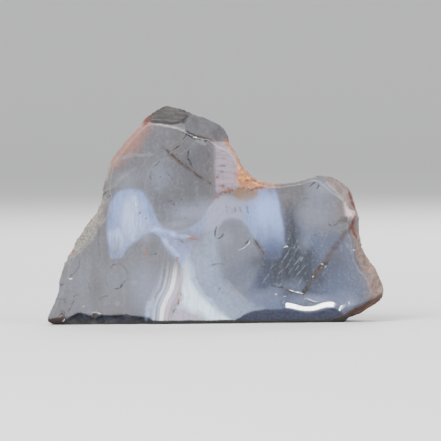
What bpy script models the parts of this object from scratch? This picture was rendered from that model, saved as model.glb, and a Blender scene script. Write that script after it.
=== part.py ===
"""Agate slice: one thick slab of agate that stands on a straight sawn edge.

The polished face looks along -Y, the sawn back along +Y and the summit points up +Z. The origin is on
the surface that the slab stands on, under the middle of its box.
"""

from math import cos, pi, radians, sin, sqrt
from typing import NamedTuple

import bmesh
import bpy
import numpy as np
from mathutils import Vector, noise

MM = 0.001
THICKNESS = 14.0
SAWN_EDGE_TILT = radians(0.5)
SAWN_EDGE_HEIGHT = -26.6
STATION_SPACING = 1.25
ROLL_STEPS = 5
SIDE_STEPS = 9
BACK_CHAMFER = 0.5
OUTLINE_EVENING = 2
TRAIT_EVENING = 3
DIRECTION_EVENING = 3
INSET_EVENING = 6
FLAKE_SIZE = 6.5
GRAIN_SIZE = 2.2
GRAIN_SHARE = 0.35
EDGE_WANDER = 0.22
EDGE_WANDER_SIZE = 3.0
BACK_WANDER = 0.9
BACK_WANDER_SIZE = 14.0
FLAKE_SEED = 1795828707
STONE_COLOUR = (0.33, 0.34, 0.37, 1.0)
STONE_ROUGHNESS = 0.25


class Stretch(NamedTuple):
    """One run of the rim and its cross-section there, in millimetres, seen from the polished face.

    shoulder is how far the polished face stops short of the outline, drop how far the outline lies
    behind the face, bulge how round the way between them is (0 a flat facet, 1 a quarter round),
    ledges the number of steps broken into it, foot how far the sawn back stops short of the outline,
    and rough how high the lumps of the broken surface stand. points run counter-clockwise.
    """

    name: str
    shoulder: float
    drop: float
    bulge: float
    ledges: int
    foot: float
    rough: float
    points: tuple


RIM = (
    Stretch("sawn edge, chipped", 2.1, 1.6, -0.3, 0, 0.0, 0.0, (
        (-36.4, -26.4), (-31.0, -26.4), (-25.0, -26.3), (-19.5, -26.3),
    )),
    Stretch("sawn edge, sharp", 1.0, 0.8, 0.0, 0, 0.0, 0.0, (
        (-15.0, -26.2), (-8.0, -26.2), (0.0, -26.1), (5.0, -26.1),
    )),
    Stretch("sawn edge, rolled", 4.2, 2.9, 1.0, 0, 0.0, 0.0, (
        (12.0, -26.0), (20.0, -25.9), (26.0, -25.9), (31.0, -25.8),
    )),
    Stretch("lower right facet", 2.3, 5.0, 0.5, 0, 0.5, 0.12, (
        (34.1, -25.4), (36.1, -24.6), (37.4, -23.7), (39.1, -22.6), (41.1, -21.5), (42.4, -20.5),
        (42.8, -19.6),
    )),
    Stretch("right flank", 3.2, 3.2, 0.3, 0, 1.4, 0.55, (
        (42.4, -17.9), (41.6, -16.1), (40.9, -14.4), (40.4, -12.6), (39.4, -11.4), (38.1, -10.1),
        (37.2, -7.9), (36.4, -5.9),
    )),
    Stretch("right side", 2.2, 2.6, 0.2, 0, 1.2, 0.45, (
        (36.0, -4.4), (36.4, -2.9), (36.4, -0.9), (35.9, 1.1), (35.2, 3.1), (34.6, 4.9), (34.5, 6.4),
    )),
    Stretch("shoulder facet", 3.4, 2.4, 0.0, 0, 0.9, 0.2, (
        (33.6, 7.4), (32.4, 8.4), (30.6, 9.8), (28.6, 10.5),
    )),
    Stretch("shoulder", 0.9, 1.0, 1.0, 0, 0.8, 0.15, (
        (26.4, 10.8), (24.4, 10.5), (22.6, 9.9), (21.1, 9.1), (18.6, 8.8), (16.1, 8.6), (13.9, 8.5),
    )),
    Stretch("notch", 1.0, 1.7, 0.6, 0, 1.0, 0.25, (
        (11.9, 9.0), (10.1, 9.6), (8.6, 10.9), (7.2, 12.4), (6.4, 14.1), (5.9, 15.6), (4.9, 16.9),
        (3.9, 17.9),
    )),
    Stretch("knob foot", 1.6, 2.0, 0.4, 0, 1.2, 0.3, (
        (3.7, 19.1), (3.6, 20.9),
    )),
    Stretch("knob", 5.4, 3.4, 0.5, 0, 1.2, 0.35, (
        (2.7, 22.2), (1.5, 23.4), (-0.4, 24.2), (-2.1, 24.9), (-3.9, 25.7), (-5.6, 26.3),
    )),
    Stretch("summit", 4.6, 4.0, 0.3, 2, 1.0, 0.3, (
        (-7.1, 27.0), (-8.9, 27.3), (-10.6, 27.9), (-11.9, 28.3), (-13.1, 28.2), (-14.4, 27.6),
        (-15.6, 26.7),
    )),
    Stretch("waxy flank", 1.2, 1.4, 0.8, 0, 0.9, 0.2, (
        (-16.9, 25.6), (-18.1, 24.5), (-18.9, 23.4), (-19.9, 22.1), (-21.1, 20.6), (-22.4, 19.4),
        (-23.6, 17.9), (-24.6, 16.6), (-25.6, 15.3), (-26.6, 13.9), (-27.2, 11.4), (-28.0, 9.1),
    )),
    Stretch("granular flank", 2.7, 2.4, 0.4, 0, 1.0, 0.6, (
        (-28.4, 6.6), (-28.9, 4.4), (-29.3, 2.6), (-30.3, 1.0), (-31.6, -0.6), (-32.6, -2.1),
        (-33.8, -3.5), (-34.7, -4.6), (-35.2, -5.9),
    )),
    Stretch("left flank", 1.3, 1.6, 0.6, 0, 1.0, 0.4, (
        (-35.3, -7.4), (-36.6, -9.1), (-37.8, -10.6), (-38.6, -12.4), (-39.2, -14.1), (-39.5, -15.9),
        (-39.5, -17.6), (-39.7, -19.6), (-40.8, -21.4), (-41.4, -23.4),
    )),
    Stretch("toe", 1.0, 1.6, 0.5, 0, 0.8, 0.3, (
        (-42.2, -25.0), (-42.8, -26.4),
    )),
    Stretch("toe sole", 1.8, 3.2, 0.2, 0, 0.4, 0.0, (
        (-41.9, -27.0), (-40.4, -27.0),
    )),
)


class Scar(NamedTuple):
    """A shell-shaped bite where a flake came off: its middle, its radius and its depth, millimetres.

    lean turns the bite from straight into the rim (0 degrees) towards straight into the face (90).
    """

    x: float
    z: float
    radius: float
    depth: float
    lean: float


SCARS = (
    Scar(-35.4, 0.0, 2.7, 1.7, 60.0),
    Scar(-30.2, 0.0, 2.9, 2.2, 50.0),
    Scar(-24.6, 0.0, 2.7, 1.6, 55.0),
    Scar(-19.4, 0.0, 2.6, 1.5, 50.0),
    Scar(3.0, 48.4, 4.5, 1.6, 55.0),
    Scar(-3.4, 52.0, 4.5, 1.4, 55.0),
    Scar(-38.9, 12.5, 3.4, 1.0, 40.0),
    Scar(-34.4, 22.6, 4.0, 1.3, 45.0),
    Scar(-30.6, 28.0, 3.2, 1.2, 42.0),
    Scar(38.9, 15.8, 4.5, 1.5, 40.0),
    Scar(36.6, 24.4, 4.2, 1.4, 42.0),
    Scar(41.9, 8.6, 3.2, 1.2, 40.0),
)


class Station(NamedTuple):
    """One place on the outline, with the outward direction there and the cross-section."""

    place: Vector
    outward: Vector
    shoulder: float
    drop: float
    bulge: float
    ledges: float
    foot: float
    rough: float
    sawn: bool


class Bite(NamedTuple):
    """A sphere that a scar is hollowed to."""

    middle: Vector
    radius: float


def clear_scene():
    """Remove every object that the scene starts with."""
    for thing in list(bpy.data.objects):
        bpy.data.objects.remove(thing, do_unlink=True)


def new_collection(name):
    """Return a new collection in the scene."""
    collection = bpy.data.collections.new(name)
    bpy.context.scene.collection.children.link(collection)
    return collection


def smooth_round(values, passes):
    """Return values evened with their neighbours round a closed ring."""
    for _ in range(passes):
        values = 0.25 * np.roll(values, 1, axis=0) + 0.5 * values + 0.25 * np.roll(values, -1, axis=0)
    return values


def levelled(points):
    """Return outline points turned so that the sawn edge is level, at height nought, and centred."""
    turn = np.array((
        (cos(SAWN_EDGE_TILT), -sin(SAWN_EDGE_TILT)),
        (sin(SAWN_EDGE_TILT), cos(SAWN_EDGE_TILT)),
    ))
    points = (points - np.array((0.0, SAWN_EDGE_HEIGHT))) @ turn
    points[:, 0] -= (points[:, 0].min() + points[:, 0].max()) / 2
    return points


def outline_stations():
    """Return evenly spaced stations round the slab, counter-clockwise seen from the polished face."""
    points = levelled(np.array([point for stretch in RIM for point in stretch.points]))
    traits = np.array([
        (stretch.shoulder, stretch.drop, stretch.bulge, stretch.ledges, stretch.foot, stretch.rough,
         stretch.name.startswith("sawn"))
        for stretch in RIM for _ in stretch.points
    ])
    lengths = np.linalg.norm(np.roll(points, -1, axis=0) - points, axis=1)
    reach = np.concatenate(((0.0,), np.cumsum(lengths)))
    count = round(reach[-1] / STATION_SPACING)
    steps = np.linspace(0.0, reach[-1], count, endpoint=False)
    rows = np.column_stack((points, traits))
    rows = np.vstack((rows, rows[:1]))
    ring = np.column_stack([np.interp(steps, reach, column) for column in rows.T])
    ring[:, :2] = smooth_round(ring[:, :2], OUTLINE_EVENING)
    ring[:, 2:8] = smooth_round(ring[:, 2:8], TRAIT_EVENING)
    sawn = ring[:, 8] > 0.5
    ring[sawn, 1] = 0.0
    ring[:, 1] = np.maximum(ring[:, 1], 0.0)
    along = np.roll(ring[:, :2], -1, axis=0) - np.roll(ring[:, :2], 1, axis=0)
    along = smooth_round(along, DIRECTION_EVENING)
    return [
        Station(
            Vector((row[0], 0.0, row[1])), Vector((way[1], 0.0, -way[0])).normalized(), *row[2:8], flat
        )
        for row, way, flat in zip(ring, along, sawn)
    ]


def inset_ring(stations, insets):
    """Return the outline drawn in by an inset at each station, evened so that it never crosses itself."""
    places = np.array([
        station.place - station.outward * inset for station, inset in zip(stations, insets)
    ])
    places = smooth_round(places, INSET_EVENING)
    for place, station, inset in zip(places, stations, insets):
        if station.sawn:
            place[2] = inset
    return [Vector(place) for place in places]


def flake(point):
    """Return the height, about -1 to 1, of a surface broken into tilted facets with a grain on them."""
    place = point / FLAKE_SIZE
    middle = Vector(noise.voronoi(place)[1][0])
    facet = 2.0 * noise.noise_vector(middle * 3.7).dot(place - middle)
    return facet + GRAIN_SHARE * noise.noise(point / GRAIN_SIZE)


def roll(station, share):
    """Return how far in (1 to 0) and how far back (0 to 1) the roll is, from face (0) to outline (1)."""
    step = share
    if station.ledges > 1.0:
        tread = share * station.ledges
        step = (int(tread) + min(1.0, 2.0 * (tread % 1.0))) / station.ledges
    inward = (1.0 - share) + station.bulge * (share - sin(share * pi / 2))
    behind = step + station.bulge * ((1.0 - cos(share * pi / 2)) - step)
    return inward, behind


def scar_bites(stations):
    """Return the sphere of each scar, set at the front edge of the slab nearest to the scar's middle."""
    bites = []
    for scar in SCARS:
        middle = Vector((scar.x, 0.0, scar.z))
        station = min(stations, key=lambda choice: (choice.place - middle).length)
        inward, behind = roll(station, 0.5)
        edge = station.place - station.outward * station.shoulder * inward
        edge.y = station.drop * behind - THICKNESS / 2
        lean = radians(scar.lean)
        way = station.outward * cos(lean) + Vector((0.0, -sin(lean), 0.0))
        bites.append(Bite(edge + way * (scar.radius - scar.depth), scar.radius))
    return bites


def bitten(point, bites, flat):
    """Return a point pushed out of every scar's sphere, within its own plane if that is a flat face."""
    for bite in bites:
        away = point - bite.middle
        reach = bite.radius
        if flat:
            reach = sqrt(max(0.0, bite.radius ** 2 - away.y ** 2))
            away.y = 0.0
        if away.length < reach:
            height = point.y
            point = bite.middle + away.normalized() * reach
            if flat:
                point.y = height
    return point


def broken_ring(points, depths, stations, bites, flat):
    """Return one ring of the slab with its lumps and its scars, given points in the outline's plane."""
    ring = []
    for point, depth, station in zip(points, depths, stations):
        point = Vector((point.x, depth - THICKNESS / 2, point.z))
        side = min(max(depth, station.drop), THICKNESS - BACK_CHAMFER)
        skin = station.place + Vector((0.0, side, 0.0))
        lump = 0.0 if station.sawn else min(0.0, station.rough * (flake(skin) - 0.5))
        point = bitten(point + station.outward * lump, bites, flat)
        point.z = max(point.z, 0.0)
        ring.append(point)
    return ring


def slab_rings(stations):
    """Return the rings from the polished face over the rim to the sawn back."""
    bites = scar_bites(stations)
    places = [station.place for station in stations]
    face = inset_ring(stations, [
        station.shoulder * (1.0 + EDGE_WANDER * noise.noise(station.place / EDGE_WANDER_SIZE))
        for station in stations
    ])
    feet = [
        0.0 if station.sawn else
        station.foot + BACK_WANDER * (0.5 + noise.noise(station.place / BACK_WANDER_SIZE))
        for station in stations
    ]
    back = inset_ring(stations, feet)
    sawn_back = inset_ring(stations, [foot + BACK_CHAMFER for foot in feet])
    rings = []
    for step in range(ROLL_STEPS + 1):
        rolls = [roll(station, step / ROLL_STEPS) for station in stations]
        points = [place.lerp(edge, inward) for place, edge, (inward, _) in zip(places, face, rolls)]
        depths = [station.drop * behind for station, (_, behind) in zip(stations, rolls)]
        rings.append(broken_ring(points, depths, stations, bites, step == 0))
    for step in range(1, SIDE_STEPS + 1):
        share = step / SIDE_STEPS
        points = [place.lerp(edge, share) for place, edge in zip(places, back)]
        depths = [
            station.drop + (THICKNESS - BACK_CHAMFER - station.drop) * share for station in stations
        ]
        rings.append(broken_ring(points, depths, stations, bites, False))
    rings.append(broken_ring(sawn_back, [THICKNESS] * len(stations), stations, bites, True))
    return rings


def loft(name, rings, material, collection):
    """Return a closed body through the rings, with flat ends on the first and the last."""
    body = bmesh.new()
    rows = [[body.verts.new(point) for point in ring] for ring in rings]
    for near, far in zip(rows, rows[1:]):
        for here in range(len(near)):
            after = (here + 1) % len(near)
            body.faces.new((near[here], far[here], far[after], near[after]))
    bmesh.ops.triangulate(body, faces=body.faces, quad_method="SHORT_EDGE")
    for row in (rows[0], rows[-1]):
        border = [body.edges.get((row[here - 1], row[here])) for here in range(len(row))]
        bmesh.ops.triangle_fill(body, use_beauty=False, edges=border, normal=(0.0, 1.0, 0.0))
    bmesh.ops.recalc_face_normals(body, faces=body.faces)
    bmesh.ops.scale(body, vec=(MM, MM, MM), verts=body.verts)
    mesh = bpy.data.meshes.new(name)
    body.to_mesh(mesh)
    body.free()
    mesh.materials.append(material)
    thing = bpy.data.objects.new(name, mesh)
    collection.objects.link(thing)


def stone_material():
    """Return the polished grey stone."""
    material = bpy.data.materials.new("agate")
    material.use_nodes = True
    shader = material.node_tree.nodes["Principled BSDF"]
    shader.inputs["Base Color"].default_value = STONE_COLOUR
    shader.inputs["Roughness"].default_value = STONE_ROUGHNESS
    shader.inputs["Metallic"].default_value = 0.0
    return material


def main():
    """Build the slab."""
    clear_scene()
    noise.seed_set(FLAKE_SEED)
    parts = new_collection("agate slice")
    loft("agate_slice", slab_rings(outline_stations()), stone_material(), parts)


main()
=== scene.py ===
"""Dresses the agate slice: its broken rim, polished face, banding, stains and cracks, in a soft studio.

Lengths are in metres unless a name says otherwise. Places on the polished face are given as pixels of
the photograph, x to the right and y down, and PhotoPlane turns them into places on the slab.
"""

import logging
from dataclasses import dataclass, field
from math import atan, cos, pi, radians, sin

import bmesh
import bpy
import numpy as np
from mathutils import Matrix, Vector, noise


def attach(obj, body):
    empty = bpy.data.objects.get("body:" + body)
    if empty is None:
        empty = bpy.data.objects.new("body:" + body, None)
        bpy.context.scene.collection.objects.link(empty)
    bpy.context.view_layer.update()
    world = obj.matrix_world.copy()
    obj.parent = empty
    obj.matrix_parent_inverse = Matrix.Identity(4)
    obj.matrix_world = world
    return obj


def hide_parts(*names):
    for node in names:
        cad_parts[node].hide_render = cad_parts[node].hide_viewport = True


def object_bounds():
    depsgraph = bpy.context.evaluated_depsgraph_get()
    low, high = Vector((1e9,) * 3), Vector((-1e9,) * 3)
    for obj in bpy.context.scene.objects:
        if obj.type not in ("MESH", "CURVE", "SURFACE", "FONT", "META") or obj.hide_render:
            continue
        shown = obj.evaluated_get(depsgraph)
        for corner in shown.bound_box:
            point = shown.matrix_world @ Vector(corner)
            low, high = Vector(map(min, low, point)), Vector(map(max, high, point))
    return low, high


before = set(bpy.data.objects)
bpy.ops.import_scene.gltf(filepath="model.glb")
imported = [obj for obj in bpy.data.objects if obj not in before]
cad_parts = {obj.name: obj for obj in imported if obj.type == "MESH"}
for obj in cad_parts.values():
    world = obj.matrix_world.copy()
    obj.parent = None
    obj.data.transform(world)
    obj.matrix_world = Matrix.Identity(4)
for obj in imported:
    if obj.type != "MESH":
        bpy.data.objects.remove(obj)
CAD_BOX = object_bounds()

MM = 0.001
NODE = "agate_slice"
PHOTO_SIZE = 441
SLAB_DEPTH_MM = 14.0
LOG = logging.getLogger("agate")

Points = tuple[tuple[float, float], ...]


@dataclass(frozen=True)
class PhotoPlane:
    """The polished face as the photograph shows it."""

    pixel: float = 0.25 * MM
    foot_x: float = 215.6
    foot_y: float = 324.1
    tilt: float = radians(0.5)
    front: float = -7.0 * MM

    def seen(self, places: np.ndarray) -> np.ndarray:
        """Find the pixels at which places on the slab are seen.

        Args:
            places: rows of X, Y, Z in metres.

        Returns:
            Rows of pixel x and pixel y, carried straight back through the stone.
        """
        along = places[:, 0] * cos(self.tilt) - places[:, 2] * sin(self.tilt)
        above = places[:, 0] * sin(self.tilt) + places[:, 2] * cos(self.tilt)
        return np.column_stack((self.foot_x + along / self.pixel, self.foot_y - above / self.pixel))

    def place(self, x: float, y: float) -> Vector:
        """Find the place on the polished face that is seen at a pixel.

        Args:
            x: pixel column.
            y: pixel row.

        Returns:
            The place in metres.
        """
        along = (x - self.foot_x) * self.pixel
        above = (self.foot_y - y) * self.pixel
        return Vector((
            along * cos(self.tilt) + above * sin(self.tilt),
            self.front,
            above * cos(self.tilt) - along * sin(self.tilt),
        ))


PLANE = PhotoPlane()


def smoothstep(low: float, high: float, values: np.ndarray) -> np.ndarray:
    """Rise smoothly from 0 to 1, or the other way when low is above high.

    Args:
        low: where the rise starts.
        high: where it ends.
        values: what is looked at.

    Returns:
        A share from 0 to 1 for each value.
    """
    share = np.clip((values - low) / (high - low), 0.0, 1.0)
    return share * share * (3.0 - 2.0 * share)


def curve_through(points: Points, closed: bool, steps: int = 5) -> np.ndarray:
    """Draw a smooth curve through points.

    Args:
        points: pixels that the curve passes.
        closed: whether the last point joins the first.
        steps: straight pieces for each stretch between two points.

    Returns:
        Rows of pixel x and y along the curve; a closed one doesn't repeat its first row.
    """
    rows = np.array(points, dtype=float)
    if closed:
        before, after = np.roll(rows, 1, axis=0), np.roll(rows, -1, axis=0)
        beyond = np.roll(rows, -2, axis=0)
    else:
        padded = np.vstack((2 * rows[0] - rows[1], rows, 2 * rows[-1] - rows[-2]))
        before, rows, after, beyond = padded[:-3], padded[1:-2], padded[2:-1], padded[3:]
    pieces = []
    for share in np.arange(steps) / steps:
        pieces.append(0.5 * (
            2 * rows + (after - before) * share
            + (2 * before - 5 * rows + 4 * after - beyond) * share ** 2
            + (3 * rows - before - 3 * after + beyond) * share ** 3
        ))
    drawn = np.stack(pieces, axis=1).reshape(-1, 2)
    return drawn if closed else np.vstack((drawn, points[-1]))


def nearest_on(curve: np.ndarray, closed: bool, pixels: np.ndarray) -> tuple[np.ndarray, np.ndarray, np.ndarray]:
    """Measure how far pixels are from a curve.

    Args:
        curve: rows of pixel x and y.
        closed: whether the curve is closed.
        pixels: rows of pixel x and y.

    Returns:
        The distance, the distance with a sign that tells the curve's left from its right, and the
        share of the way along the curve, one of each for each pixel.
    """
    starts = curve if closed else curve[:-1]
    ends = np.roll(curve, -1, axis=0) if closed else curve[1:]
    best = np.full(len(pixels), np.inf)
    side = np.zeros(len(pixels))
    along = np.zeros(len(pixels))
    for number, (start, end) in enumerate(zip(starts, ends)):
        way = end - start
        offset = pixels - start
        share = np.clip(offset @ way / max(way @ way, 1e-9), 0.0, 1.0)
        gap = offset - share[:, None] * way
        distance = np.einsum("ij,ij->i", gap, gap)
        closer = distance < best
        best[closer] = distance[closer]
        side[closer] = np.sign(way[0] * offset[closer, 1] - way[1] * offset[closer, 0])
        along[closer] = (number + share[closer]) / len(starts)
    best = np.sqrt(best)
    return best, best * side, along


def inside(curve: np.ndarray, pixels: np.ndarray) -> np.ndarray:
    """Tell which pixels a closed curve holds, by counting how often a line from each crosses it.

    Args:
        curve: rows of pixel x and y.
        pixels: rows of pixel x and y.

    Returns:
        True for each pixel inside.
    """
    held = np.zeros(len(pixels), dtype=bool)
    for start, end in zip(curve, np.roll(curve, -1, axis=0)):
        if start[1] == end[1]:
            continue
        spans = (start[1] > pixels[:, 1]) != (end[1] > pixels[:, 1])
        crossing = start[0] + (pixels[:, 1] - start[1]) * (end[0] - start[0]) / (end[1] - start[1])
        held ^= spans & (pixels[:, 0] < crossing)
    return held


@dataclass(frozen=True)
class Region:
    """A part of the stone with its own colour, in some parts darkened as painted shade: a closed outline on the
    face, in pixels.
    """

    points: Points

    def field(self, pixels: np.ndarray) -> np.ndarray:
        """Measure how far inside the outline pixels lie.

        Args:
            pixels: rows of pixel x and y.

        Returns:
            The distance to the outline in millimetres, negative outside.
        """
        curve = curve_through(self.points, True)
        distance = nearest_on(curve, True, pixels)[0]
        return np.where(inside(curve, pixels), distance, -distance) * PLANE.pixel / MM


@dataclass(frozen=True)
class Strokes:
    """A set of lines of one kind on the face, in pixels."""

    lines: tuple[Points, ...]

    def field(self, pixels: np.ndarray) -> np.ndarray:
        """Measure pixels against the nearest line.

        Args:
            pixels: rows of pixel x and y.

        Returns:
            Rows of signed distance, plain distance (both in millimetres) and share along the line.
        """
        best = np.full(len(pixels), np.inf)
        rows = np.zeros((len(pixels), 3))
        for line in self.lines:
            distance, signed, along = nearest_on(curve_through(line, False, 4), False, pixels)
            closer = distance < best
            best[closer] = distance[closer]
            rows[closer] = np.column_stack((signed, distance, along))[closer]
        rows[:, :2] *= PLANE.pixel / MM
        return rows


REGIONS: dict[str, Region] = {
    "ribbon": Region((
        (111, 257), (109, 243), (107.5, 228), (108.5, 214), (111, 204), (115, 197), (120, 192), (128, 190),
        (136, 190.5), (142, 193), (147, 198), (151, 206), (155, 217), (158, 223), (163, 227), (170, 230),
        (178, 231), (188, 229), (195, 226), (201, 220), (207, 212), (213, 203), (220, 197), (230, 196),
        (241, 199), (250, 193), (259, 187), (268, 185), (273.5, 184), (276, 192), (278, 200), (280, 210),
        (281.5, 220), (283, 230), (284, 240), (283, 247), (281, 254), (277, 259), (271, 260), (266, 256),
        (261, 250), (257, 243), (253, 236), (250, 230), (246, 224), (240, 219.5), (233, 218), (227, 219),
        (222, 222), (218, 226), (212, 229), (205, 233), (198, 238), (194, 245), (190, 252), (188, 259),
        (184, 268), (180, 263), (175, 257), (170, 252), (164, 243), (160, 236), (155, 232.5), (149, 232.5),
        (142, 236), (138, 240), (133, 243), (128, 247), (125, 250), (121, 256), (116, 258),
    )),
    "bowl": Region((
        (147, 197), (150, 203), (152, 210), (155, 217), (158, 223), (163, 227), (170, 230), (178, 231),
        (188, 229), (195, 226), (200, 221), (205, 215), (210, 209), (213, 202), (216, 195), (215.5, 180),
        (215.5, 160), (215, 145), (200, 140), (188, 150), (176, 158), (162, 160), (152, 168), (146, 182),
    )),
    "blossom": Region((
        (215.5, 138), (222, 139), (229, 141), (240, 140), (252, 160), (262, 182), (250, 189), (238, 190),
        (228, 190), (218, 192), (215.5, 185), (215.5, 165),
    )),
    "fan": Region((
        (187, 250), (190, 258), (190, 275), (192, 283), (197, 292), (203, 299), (209, 304), (215, 310),
        (222, 316), (230, 322), (225, 332), (176, 332), (171, 322), (172.5, 314), (177, 306), (180, 295),
        (182, 278), (184, 262),
    )),
    "veil": Region((
        (196, 240), (206, 234), (215, 228), (215, 242), (216, 255), (218, 265), (222, 275), (226, 283),
        (232, 290), (240, 297), (252, 305), (262, 309), (250, 314), (240, 321), (228, 326), (212, 312),
        (200, 298), (190, 280), (189, 262), (191, 250),
    )),
    "egg": Region((
        (215.5, 226), (222, 222), (227, 219), (233, 218), (240, 219.5), (246, 224), (250, 230), (254, 238),
        (258, 246), (261, 254), (260, 265), (256, 276), (250, 287), (243, 296), (236, 294), (231, 289),
        (226, 283), (222, 275), (218, 265), (216, 255), (215, 240),
    )),
    "deep": Region((
        (258, 246), (268, 262), (280, 262), (286, 240), (284.5, 222), (287, 212), (291, 213), (295, 224),
        (300, 238), (308, 252), (314, 268), (312, 285), (303, 296), (286, 300), (270, 294), (258, 282),
        (254, 264),
    )),
    "gloom": Region((
        (250, 262), (262, 256), (280, 262), (290, 236), (300, 232), (330, 240), (352, 246), (362, 262),
        (372, 284), (366, 300), (344, 314), (300, 316), (262, 312), (246, 300), (238, 284),
    )),
    "blush": Region((
        (108, 164), (115, 150), (128, 134), (144, 118), (153, 120), (147, 129), (142, 137), (135, 147),
        (126, 156), (116, 163),
    )),
    "amber": Region((
        (236, 191), (243, 189), (251, 190), (256, 193), (251, 198), (245, 200.5), (238, 198),
    )),
    "granular": Region((
        (101, 208), (108, 200), (100, 196), (88, 206), (70, 232), (58, 262), (68, 262), (76, 253),
        (86, 247), (92, 238), (97, 228), (103, 217),
    )),
    "toe": Region((
        (38, 334), (70, 334), (67, 321), (63, 316.5), (58, 318.4), (47, 318.9), (36, 320),
    )),
    "chip": Region((
        (146, 104), (160, 100), (178, 102), (197, 110), (193, 116), (189, 119.5), (184, 121.5), (177, 124),
        (168, 124.3), (159, 123.2), (151, 122.6), (147.5, 116),
    )),
    "knob": Region((
        (194, 108), (212, 112), (228, 118), (236, 132), (231, 141), (225, 140), (217, 140.5), (210, 138),
        (205, 138), (197, 136), (190, 132.5), (186, 129), (187, 123), (191, 118.5),
    )),
    "shoulder": Region((
        (322, 170), (326, 178.5), (331, 184.5), (336, 190.5), (341, 196.5), (346, 202), (352, 210),
        (366, 206), (360, 180), (344, 166),
    )),
    "frost": Region((
        (345, 204), (350, 201), (355, 203), (360, 210), (357, 217), (351, 219), (346, 214),
    )),
    "rind": Region((
        (358, 234), (361, 247), (364, 258), (367, 268), (371, 281), (375, 296), (392, 300), (394, 284),
        (380, 256), (368, 236),
    )),
    "facet": Region((
        (334, 319.6), (344, 314.6), (351, 310.8), (359, 306), (367, 301.4), (375, 297.4), (386, 292),
        (396, 296), (376, 318), (346, 332), (330, 330),
    )),
    "chipped": Region((
        (64, 319), (68, 318), (73, 315.6), (79, 312.8), (84, 314), (90, 315.6), (97, 318), (101, 315),
        (112, 315.4), (123, 314.2), (127, 313.8), (131, 315.6), (140, 316.4), (149, 317.5), (152, 322),
        (152, 334), (60, 334),
    )),
    "bevel": Region((
        (236, 321), (241, 317), (247, 312.5), (258, 310), (272, 309.3), (287, 309.5), (297, 311),
        (308, 313), (318, 311.5), (327, 308.8), (334, 308.6), (342, 313), (348, 318), (342, 334),
        (240, 334),
    )),
    "lilac": Region((
        (166, 326), (169, 318), (172, 311), (178, 306.5), (186, 309), (196, 312), (206, 318), (210, 330),
        (180, 334),
    )),
    "feather": Region((
        (136, 194), (141, 201), (145, 211), (149, 220), (155, 228), (150, 231), (145, 232.5), (139, 236),
        (134, 241), (127, 246), (120, 250), (113, 249), (108, 243), (108, 236), (112, 231.5), (118, 226),
        (122, 218), (125, 210), (127, 202), (131, 195),
    )),
    "stain": Region((
        (226, 139), (229, 136), (236, 148), (243, 161), (250, 170), (260, 178), (276, 181), (276, 185),
        (264, 187), (252, 187), (243, 187), (239, 180), (238, 170), (237, 160), (233, 150), (228, 144),
    )),
    "scuffed": Region((
        (284, 230), (289, 225), (294, 228), (298, 235), (303, 244), (308, 254), (309, 266), (306, 277),
        (298, 285), (287, 288), (276, 282), (270, 272), (272, 263), (279, 259), (284, 250), (285, 240),
    )),
    # Painted shade: the dark band where the base edge turns down, its grey-brown stone darkened.
    "strip": Region((
        (44, 319.9), (62, 320.9), (100, 321.1), (150, 320.7), (200, 320.3), (250, 319.9), (300, 319.4),
        (336, 318.4), (352, 317), (366, 340), (40, 340),
    )),
}

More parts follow.
